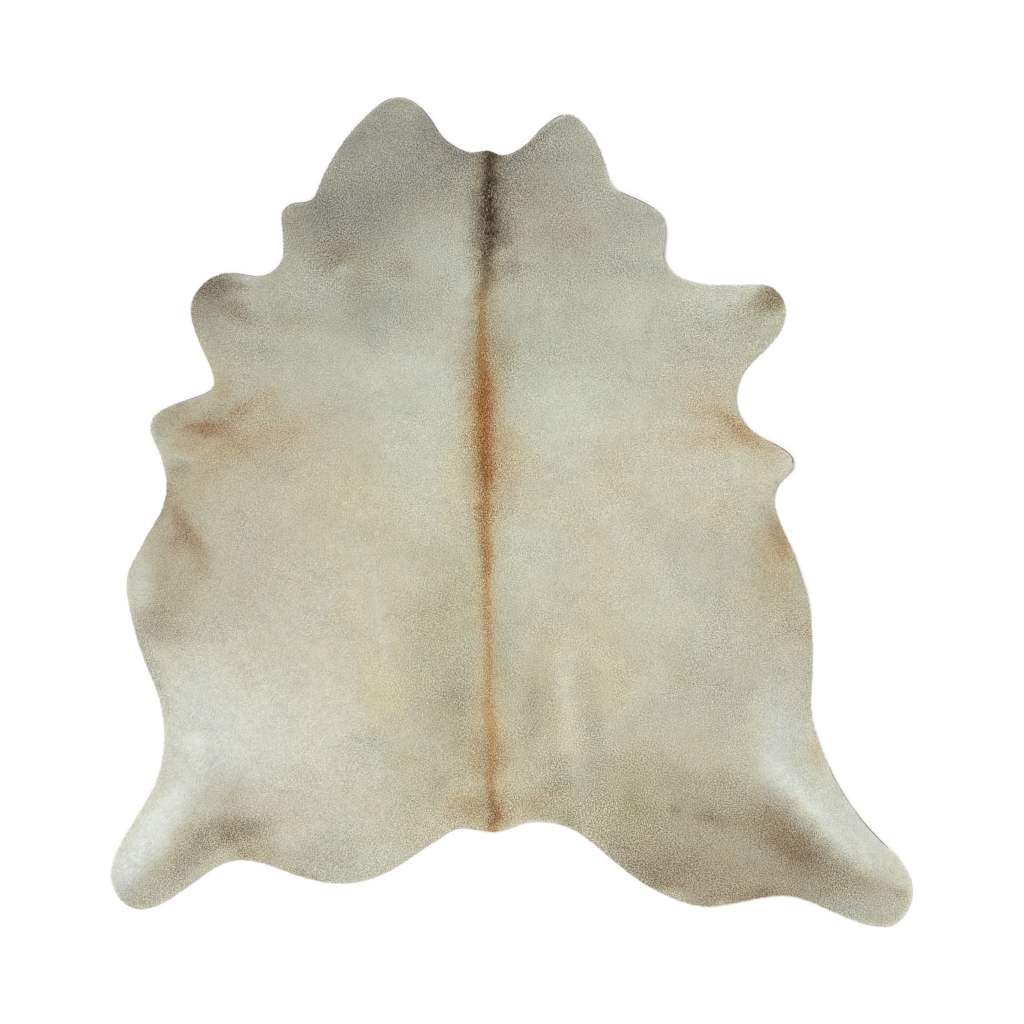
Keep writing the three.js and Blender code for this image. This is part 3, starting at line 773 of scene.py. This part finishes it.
def depth_and_side(points, loop):
    """How far points lie inside the loop, negative outside, and its nearest side."""
    a, b = loop, np.roll(loop, -1, axis=0)
    d = b - a
    length2 = (d * d).sum(1)
    depth, side = np.empty(len(points)), np.empty(len(points), int)
    for i in range(0, len(points), BATCH):
        p = points[i : i + BATCH]
        rx, ry = p[:, :1] - a[:, 0], p[:, 1:] - a[:, 1]
        t = np.clip((rx * d[:, 0] + ry * d[:, 1]) / length2, 0, 1)
        away = (rx - t * d[:, 0]) ** 2 + (ry - t * d[:, 1]) ** 2
        side[i : i + BATCH] = away.argmin(1)
        near = np.sqrt(away.min(1))
        above_a, above_b = a[:, 1] > p[:, 1:], b[:, 1] > p[:, 1:]
        crossing = a[:, 0] + (p[:, 1:] - a[:, 1]) * d[:, 0] / np.where(
            d[:, 1] == 0, 1e-9, d[:, 1]
        )
        hits = ((above_a != above_b) & (p[:, :1] < crossing)).sum(1)
        depth[i : i + BATCH] = np.where(hits % 2 == 1, near, -near)
    return depth, side


def edge_distance(points, loop):
    """How far points lie inside the loop, negative outside, in mm."""
    return depth_and_side(points, loop)[0]


def rough_depth(points, loop):
    """The same to within about a cell, read off a grid, for very many points."""
    low = loop.min(0) - 2 * GRID_CELL
    across, up = np.ceil((loop.max(0) + 2 * GRID_CELL - low) / GRID_CELL).astype(int)
    gx, gy = np.meshgrid(
        low[0] + GRID_CELL * np.arange(across), low[1] + GRID_CELL * np.arange(up)
    )
    grid = edge_distance(np.stack([gx.ravel(), gy.ravel()], 1), loop).reshape(gx.shape)
    column, row = np.rint((points - low) / GRID_CELL).astype(int).T
    return grid[np.clip(row, 0, up - 1), np.clip(column, 0, across - 1)]


def hex_points(low, high, step, rng=None, jitter=0.0):
    """Points of a triangular lattice over a box, each moved by up to jitter steps."""
    rows = np.arange(low[1], high[1], step * math.sqrt(3) / 2)
    columns = np.arange(low[0], high[0], step)
    x, y = np.meshgrid(columns, rows)
    x = x + (np.arange(len(rows)) % 2 * step / 2)[:, None]
    points = np.stack([x.ravel(), y.ravel()], 1)
    if rng is not None:
        points += rng.uniform(-jitter, jitter, points.shape) * step
    return points


# coat's colouring


def coat_colour(x, y, pick=None):
    """The coat's sRGB colour at points in mm. Where pick is given, from 0 to 1, each
    point is a lock of hair that takes patches readily at 0 and hardly at 1."""
    x = x + mottled(x, y, WARP_X)
    y = y + mottled(x, y, WARP_Y)
    out = np.tile(np.array(GROUND, float), (len(x), 1))

    def cover(rows, share, colour):
        if pick is not None:
            share = share + BLEND * ((pick[rows] < share) - share)
        out[rows] += share[:, None] * (colour - out[rows])

    for row in named(PATCH, PATCHES.values()):
        reach = PATCH_REACH * max(row["long"], row["wide"])
        near = np.flatnonzero(
            (abs(x - row["x"]) < reach) & (abs(y - row["y"]) < reach)
        )
        turn = math.radians(row["turn"])
        dx, dy = x[near] - row["x"], y[near] - row["y"]
        u = (dx * math.cos(turn) + dy * math.sin(turn)) / row["long"]
        v = (dy * math.cos(turn) - dx * math.sin(turn)) / row["wide"]
        share = row["share"] * 0.5 ** ((u * u + v * v) ** row["edge"])
        cover(near, share, np.array(COAT[row["colour"]], float))
    stations = named(STATION, reversed(BACK_LINE))
    near = np.flatnonzero(abs(x - stations[0]["x"]) < BACK_LINE_REACH)
    at = [s["y"] for s in stations]

    def along(key, channel=None):
        values = [s[key] if channel is None else COAT[s[key]][channel] for s in stations]
        return np.interp(y[near], at, values)

    line = np.stack([along("colour", k) for k in range(3)], 1)
    halo = np.stack([along("halo", k) for k in range(3)], 1)
    aside = abs(x[near] - along("x"))
    fading = 0.5 ** ((aside / along("haloHalf")) ** HALO_EDGE)
    cover(near, along("haloShare") * fading, halo)
    fading = 0.5 ** ((aside / along("half")) ** LINE_EDGE)
    cover(near, along("share") * fading, line)
    tone = TONE_SHIFT + mottled(x, y, TONE)
    warm = mottled(x, y, WARMTH)
    return out + tone[:, None] + warm[:, None] * np.array(WARMER)


def coat_grain(x, y, colour):
    """How far single hairs stray from that colour, in sRGB steps."""
    dark = np.clip(GRAIN_WHITE - colour.mean(1), 0, None)
    steps = (GRAIN_LEAST + GRAIN_SLOPE * dark) * (1 + mottled(x, y, GRAIN_LAYERS))
    for row in named(STRETCH, GRAIN_AREAS.values()):
        inside, distance = near_segment(x, y, row)
        steps[inside] *= 1 + (row["value"] - 1) * fall_off(distance, row["reach"])
    return steps


# materials

NOISE_TURN = 29  # degrees, so that no noise runs along the picture's rows
NOISE_LOW = 0.25  # nearly all of Blender's noise lies from here
NOISE_HIGH = 0.75  # to here

# Skin without hair: the sRGB colours of its light and dark patches, and how many of
# them and of the nap's cells go to a metre
LEATHERS = dict(
    suede=dict(light=(206, 190, 166), dark=(176, 158, 132), patch=22.0, nap=900.0),
    # the blue-grey of the chrome-tanned cut, made darker as painted shadow under the
    # lifted edges
    cut_edge_and_shadow=dict(light=(136, 142, 150), dark=(100, 108, 120), patch=60.0, nap=1100.0),
    pale_edge=dict(light=(222, 216, 202), dark=(196, 188, 172), patch=60.0, nap=1100.0),
)


def new_material(name):
    m = bpy.data.materials.new(name)
    m.use_nodes = True
    return m


def feed(m, node, inputs):
    """Gives a node's inputs their values, or other nodes' outputs."""
    for key, value in inputs.items():
        if isinstance(value, bpy.types.NodeSocket):
            m.node_tree.links.new(value, node.inputs[key])
        else:
            node.inputs[key].default_value = value


def add_node(m, kind, inputs, operation=None):
    node = m.node_tree.nodes.new("ShaderNode" + kind)
    if operation:
        node.operation = operation
    feed(m, node, inputs)
    return node


def surface(m, inputs):
    feed(m, m.node_tree.nodes["Principled BSDF"], inputs)
    return m


def noise(m, scale, detail=2.0, flat=False):
    """Noise over the object's own coordinates, scale in patches a metre; flat noise
    is the same at every height."""
    where = add_node(m, "TexCoord", {}).outputs["Object"]
    turn = (0, 0, math.radians(NOISE_TURN))
    turned = add_node(m, "Mapping", {"Vector": where, "Rotation": turn})
    inputs = {"Vector": turned.outputs["Vector"], "Scale": scale, "Detail": detail}
    made = add_node(m, "TexNoise", inputs)
    if flat:
        made.noise_dimensions = "2D"
    return made.outputs["Fac"]


def ranged(m, value, low, high):
    """A noise as a value from low to high."""
    inputs = {"From Min": NOISE_LOW, "From Max": NOISE_HIGH}
    inputs |= {"To Min": low, "To Max": high, "Value": value}
    return add_node(m, "MapRange", inputs).outputs["Result"]


def scaled(m, colour, factor):
    node = add_node(m, "VectorMath", {0: colour, "Scale": factor}, "SCALE")
    return node.outputs["Vector"]


def bump(m, height, strength, distance):
    """Normals bent by a height of 0 to 1, that distance in mm."""
    inputs = {"Height": height, "Strength": strength, "Distance": distance * MM}
    return add_node(m, "Bump", inputs).outputs["Normal"]


def painted(m, name, output):
    """What paint gave each point under that name."""
    node = add_node(m, "Attribute", {})
    node.attribute_name = name
    return node.outputs[output]


def fibres(m):
    """The painted colour times fine noise, which is as strong as the painted grain."""
    fine = ranged(m, noise(m, FIBRE_SCALE, detail=0.0, flat=True), low=-1, high=1)
    inputs = {0: fine, 1: painted(m, "grain", "Fac"), 2: 1.0}
    factor = add_node(m, "Math", inputs, "MULTIPLY_ADD").outputs["Value"]
    factor = add_node(m, "Math", {0: factor, 1: FIBRE_LEAST}, "MAXIMUM")
    return scaled(m, painted(m, "coat", "Color"), factor.outputs["Value"])


def hair_material():
    """Dry short hair: the painted colour, mottled and grained, with a soft sheen."""
    m = new_material("cow_hair")
    shade = ranged(m, noise(m, scale=110.0), low=0.92, high=1.045)
    inputs = {
        "Base Color": scaled(m, fibres(m), shade),
        "Roughness": ranged(m, noise(m, scale=120.0), low=0.58, high=0.76),
        "Specular IOR Level": 0.15,
        "Sheen Weight": 0.06,
        "Sheen Roughness": 0.5,
    }
    return surface(m, inputs)


def skin_material():
    """The hair side of the skin between the locks: short undercoat."""
    m = new_material("undercoat")
    fine = noise(m, scale=700.0, detail=3.0)
    inputs = {
        "Base Color": fibres(m),
        "Roughness": ranged(m, fine, low=0.7, high=0.9),
        "Specular IOR Level": 0.2,
        "Normal": bump(m, fine, strength=0.5, distance=0.8),
    }
    return surface(m, inputs)


def leather_material(name):
    """Tanned skin without hair: two shades in patches, with a fine nap."""
    row = LEATHERS[name]
    m = new_material(name)
    mix = add_node(m, "Mix", {})
    mix.data_type = "RGBA"
    patches = ranged(m, noise(m, row["patch"], detail=5.0), low=0, high=1)
    shades = {"A": (*linear(row["dark"]), 1), "B": (*linear(row["light"]), 1)}
    feed(m, mix, {"Factor": patches, **shades})
    fine = noise(m, row["nap"], detail=4.0)
    shade = ranged(m, fine, low=0.88, high=1.1)
    inputs = {
        "Base Color": scaled(m, mix.outputs["Result"], shade),
        "Roughness": ranged(m, fine, low=0.78, high=0.95),
        "Specular IOR Level": 0.25,
        "Normal": bump(m, fine, strength=0.6, distance=0.5),
    }
    return surface(m, inputs)


# sheet

INSIDE_ONLY = 1  # Blender's number for the triangles inside a loop
MERGE_WITHIN = 1e-6
SKIN_CLEAR = 13.0  # mm from the outline to the top's other points
BACK_CLEAR = 15.6  # and to the underside's
SHOWS_BLUE = 1.5  # mm of lean from which the cut shows its blue-grey side, with painted shadow in it
UNDERCOAT_SHADOW = 0.9  # how light the skin is, of the hair over it: painted shadow of the locks on it
SUEDE, BLUE, PALE = 1, 2, 3  # places of the sheet's materials, after the undercoat


def triangulate(loop, inner):
    """Triangles over a loop and the points inside it."""
    points = [Vector(p) for p in np.vstack([loop, inner])]
    ring = list(range(len(loop)))
    made = geometry.delaunay_2d_cdt(
        points, [(i, (i + 1) % len(ring)) for i in ring], [], INSIDE_ONLY, MERGE_WITHIN
    )
    triangles = np.array(made[2], int)
    co = np.array([tuple(p) for p in made[0]])
    a, b, c = (co[triangles[:, k]] for k in range(3))
    area = (b[:, 0] - a[:, 0]) * (c[:, 1] - a[:, 1]) - (b[:, 1] - a[:, 1]) * (
        c[:, 0] - a[:, 0]
    )
    triangles[area < 0] = triangles[area < 0][:, ::-1]
    return co, triangles


def make_hide(loop):
    """The sheet of skin: hair side, flesh side and the cut edge between them."""
    x, y = loop.T
    wobble = CUT_WOBBLE * mottled(x, y, CUT_LAYERS) - CUT_WOBBLE
    normals = outward(loop)
    top_loop = loop + normals * (wobble - lean(x, y))[:, None]
    back_loop = loop + normals * wobble[:, None]
    low, high = loop.min(0), loop.max(0)

    def inner(step, clear):
        points = hex_points(low, high, step)
        return points[edge_distance(points, loop) > clear]

    top, top_tris = triangulate(top_loop, inner(SKIN_STEP, SKIN_CLEAR))
    back, back_tris = triangulate(back_loop, inner(BACK_STEP, BACK_CLEAR))
    top_z = skin_top(*top.T)
    back_z = lift(*back.T)
    points = np.vstack([np.c_[top, top_z], np.c_[back, back_z]])
    ring = np.arange(len(loop))
    after = np.roll(ring, -1)
    first_back = len(top)
    edge_tris = np.vstack(
        [
            np.c_[ring, ring + first_back, after + first_back],
            np.c_[ring, after + first_back, after],
        ]
    )
    triangles = np.vstack([top_tris, back_tris[:, ::-1] + first_back, edge_tris])
    me = mesh_from("hide", points, triangles)
    colours = np.tile(linear(RIM), (len(points), 1))
    grain = np.zeros(len(points))
    coat = coat_colour(*top.T)
    rim = fall_off(edge_distance(top, loop), RIM_WIDTH)[:, None]
    # the skin under the hair is painted darker, as the locks' shadow on it, and pale at
    # the rim
    colours[: len(top)] = UNDERCOAT_SHADOW * linear(coat) * (1 - rim) + rim * linear(RIM)
    grain[: len(top)] = fibre_grain(coat_grain(*top.T, coat), coat)
    paint(me, colours, grain)
    for m in (skin_material(), *map(leather_material, LEATHERS)):
        me.materials.append(m)
    # leaning stretches get the blue-grey cut with painted shadow in it, the others pale
    # skin
    edge_slots = np.where(lean(x, y) > SHOWS_BLUE, BLUE, PALE)
    slots = np.zeros(len(triangles), int)
    slots[len(top_tris) : -len(edge_tris)] = SUEDE
    slots[-len(edge_tris) :] = np.tile(edge_slots, 2)
    me.polygons.foreach_set("material_index", slots)
    return link(bpy.data.objects.new("hide_sheet", me))


# hair

FLOW_SOFTNESS = 60.0  # mm around a point of the table where it hardly changes
FLOW_POWER = 1.5  # how fast its weight falls off beyond
JITTER = 0.4  # of the pitch, that locks are moved by
STRAY_TURN = 12  # degrees that a lock turns from the flow
LENGTHS = (0.75, 1.25)  # least and most, of the usual
WIDTHS = (0.8, 1.2)
HEIGHTS = (0.65, 1.0)
EDGE_REACH = 1.5  # lock lengths from the edge where locks are trimmed
TRIM_ROUNDS = 3
TRIM_STEP = 1.05  # of what reaches past the edge, that a round cuts off
ROOT_HEIGHT = 0.15  # mm above the skin
CORNER_RISE = (0.0, 0.30, 0.30, 1.0)  # of the lock's height: root, shoulders, tip
# painted shadow at the root, where the locks before it cover it, and a little painted
# light at the tip, as factors on the lock's colour: root, shoulders, tip
ROOT_SHADOW_TIP_LIGHT = (0.92, 0.98, 0.98, 1.04)


def flow(x, y):
    """The way the hair lies, in radians from +X, blended from the table."""
    dx, dy = np.zeros(len(x)), np.zeros(len(x))
    for row in named(FLOW_POINT, FLOW.values()):
        away2 = (x - row["x"]) ** 2 + (y - row["y"]) ** 2
        weight = 1 / (away2 + FLOW_SOFTNESS**2) ** FLOW_POWER
        dx += weight * math.cos(math.radians(row["heading"]))
        dy += weight * math.sin(math.radians(row["heading"]))
    return np.arctan2(dy, dx) + np.radians(mottled(x, y, SWIRL))


def unit(heading):
    return np.stack([np.cos(heading), np.sin(heading)], 1)


def comb_hair(loop):
    """Every lock of the coat, from its root to its tip, in mm."""
    rng = np.random.default_rng(SEED)
    middle = hex_points(loop.min(0), loop.max(0), LOCK_PITCH, rng, JITTER)
    depth = rough_depth(middle, loop)
    # near the edge the depth is measured again, without the grid
    near = np.flatnonzero(abs(depth) < 2 * EDGE_REACH * LOCK_LENGTH)
    depth[near] = edge_distance(middle[near], loop)
    middle, depth = middle[depth > 0], depth[depth > 0]
    n = len(middle)
    heading = flow(*middle.T) + rng.normal(0, math.radians(STRAY_TURN), n)
    length = LOCK_LENGTH * rng.uniform(*LENGTHS, n)
    ahead = unit(heading)
    root = middle - BEHIND * length[:, None] * ahead
    root_depth, tip_depth = np.full(n, FAR_INSIDE), np.full(n, FAR_INSIDE)
    near = np.flatnonzero(depth < EDGE_REACH * LOCK_LENGTH)
    inward = -outward(loop)
    open_edge = LEAN_CLEARANCE * (lean(*middle[near].T) - CUT_BEVEL)
    for _ in range(TRIM_ROUNDS):
        root_depth[near], side = depth_and_side(root[near], loop)
        short = np.maximum(0, ROOT_MARGIN + open_edge - root_depth[near])
        root[near] += short[:, None] * inward[side]
    for _ in range(TRIM_ROUNDS):
        tip = root[near] + length[near, None] * ahead[near]
        tip_depth[near] = edge_distance(tip, loop)
        past = np.minimum(0, tip_depth[near] + OVERHANG - open_edge)
        length[near] += TRIM_STEP * past
    keep = length > SHORTEST * LOCK_LENGTH
    height = NAP * rng.uniform(*HEIGHTS, n) * (1 + mottled(*middle.T, HEIGHT_LAYERS))
    locks = dict(
        root=root,
        ahead=ahead,
        length=length,
        width=LOCK_WIDTH * rng.uniform(*WIDTHS, n),
        height=height,
        root_depth=root_depth,
        tip_depth=tip_depth,
        shade=rng.normal(0, 1, n),
        pick=rng.uniform(0, 1, n),
    )
    return {key: value[keep] for key, value in locks.items()}


def make_hair(name, locks, rows, material):
    """One joined mesh of locks: each is a root, two shoulders and a tip."""
    k = {key: value[rows] for key, value in locks.items()}
    ahead, along = k["ahead"], k["ahead"] * k["length"][:, None]
    side = np.c_[-ahead[:, 1], ahead[:, 0]] * k["width"][:, None] / 2
    root, tip = k["root"], k["root"] + along
    waist = root + BEHIND * along
    flat = np.stack([root, waist + side, waist - side, tip], 1).reshape(-1, 2)
    rise = np.array(CORNER_RISE) * k["height"][:, None]
    z = skin_top(*flat.T).reshape(-1, 4) + ROOT_HEIGHT + rise
    points = np.c_[flat, z.ravel()]
    first = 4 * np.arange(len(root))[:, None]
    triangles = np.vstack([first + [0, 3, 1], first + [0, 2, 3]])
    me = mesh_from(name, points, triangles)
    place = (root + 0.5 * along).T
    coat = coat_colour(*place, k["pick"])
    grain = coat_grain(*place, coat)
    fibre = fibre_grain(grain, coat)
    darkness = np.clip((DARK_FROM - coat.mean(1)) / (DARK_FROM - DARK_FULL), 0, 1)
    stray = (LOCK_GRAIN + DARK_LOCKS * darkness) * relative(grain, coat)
    most = np.clip(k["shade"], -STRAY_MOST, STRAY_MOST)
    shade = np.exp(stray * most - stray**2 / 2)
    # each lock's own random tone, times painted shadow at its root and painted light at
    # its tip
    tone_and_root_shadow = shade[:, None] * np.array(ROOT_SHADOW_TIP_LIGHT)
    colours = linear(coat)[:, None, :] * tone_and_root_shadow[:, :, None]
    waist_depth = (1 - BEHIND) * k["root_depth"] + BEHIND * k["tip_depth"]
    depth = np.stack([k["root_depth"], waist_depth, waist_depth, k["tip_depth"]], 1)
    white = whiteness(*flat.T, depth.ravel()).reshape(-1, 4, 1)
    colours += white * (linear(WHITE_HAIR) - colours)
    paint(me, colours.reshape(-1, 3), (fibre[:, None] * (1 - white[..., 0])).ravel())
    me.materials.append(material)
    low, high = flat.min(0), flat.max(0)
    uv = (flat - low) / (high - low)
    corner = columns_of(me.loops, "vertex_index", np.int32, 1)
    layer = me.uv_layers.new(name="OFBake")
    layer.uv.foreach_set("vector", uv[corner].ravel())
    return link(bpy.data.objects.new(name, me))


# stage

FLOOR_HALF = 30.0  # metres
FLOOR_DROP = 0.2  # mm below the rug
FLOOR_PATCHES = 0.6  # to a metre
FLOOR_GREY = (0.86, 0.88)  # from darkest to lightest
SKY_STRENGTH = 0.62
SUN_STRENGTH = 2.35
SUN_WIDTH = 30  # degrees across, for soft shadows
SUN_TILT = (-28, -30, 0)  # degrees from straight above


def make_floor():
    me = bpy.data.meshes.new("floor")
    corners = ((-1, -1), (1, -1), (1, 1), (-1, 1))
    corners = [(FLOOR_HALF * x, FLOOR_HALF * y, 0) for x, y in corners]
    me.from_pydata(corners, [], [(0, 1, 2, 3)])
    m = new_material("floor")
    grey = ranged(m, noise(m, FLOOR_PATCHES), *FLOOR_GREY)
    grey = add_node(m, "CombineColor", {"Red": grey, "Green": grey, "Blue": grey})
    inputs = {"Base Color": grey.outputs["Color"], "Roughness": 0.9}
    me.materials.append(surface(m, {**inputs, "Specular IOR Level": 0.1}))
    floor = link(bpy.data.objects.new("floor", me))
    floor.location.z = -FLOOR_DROP * MM


def make_light():
    world = bpy.data.worlds.new("studio")
    bpy.context.scene.world = world
    world.use_nodes = True
    background = world.node_tree.nodes["Background"]
    background.inputs["Color"].default_value = (1, 1, 1, 1)
    background.inputs["Strength"].default_value = SKY_STRENGTH
    sun = bpy.data.lights.new("softbox", "SUN")
    sun.energy = SUN_STRENGTH
    sun.angle = math.radians(SUN_WIDTH)
    ob = link(bpy.data.objects.new("softbox", sun))
    ob.rotation_euler = [math.radians(turn) for turn in SUN_TILT]
    bpy.context.scene.view_settings.view_transform = "Standard"


make_camera()
make_floor()
make_light()

outline = resample(read_outline(), OUTLINE_STEP)
hide = make_hide(outline)
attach(hide, "root")
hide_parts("hide")

locks = comb_hair(outline)
hair = hair_material()
order = np.argsort(-locks["root"][:, 1], kind="stable")
for name, rows in zip(PIECES, np.array_split(order, len(PIECES))):
    coat = make_hair(name, locks, rows, hair)
    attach(coat, "root")
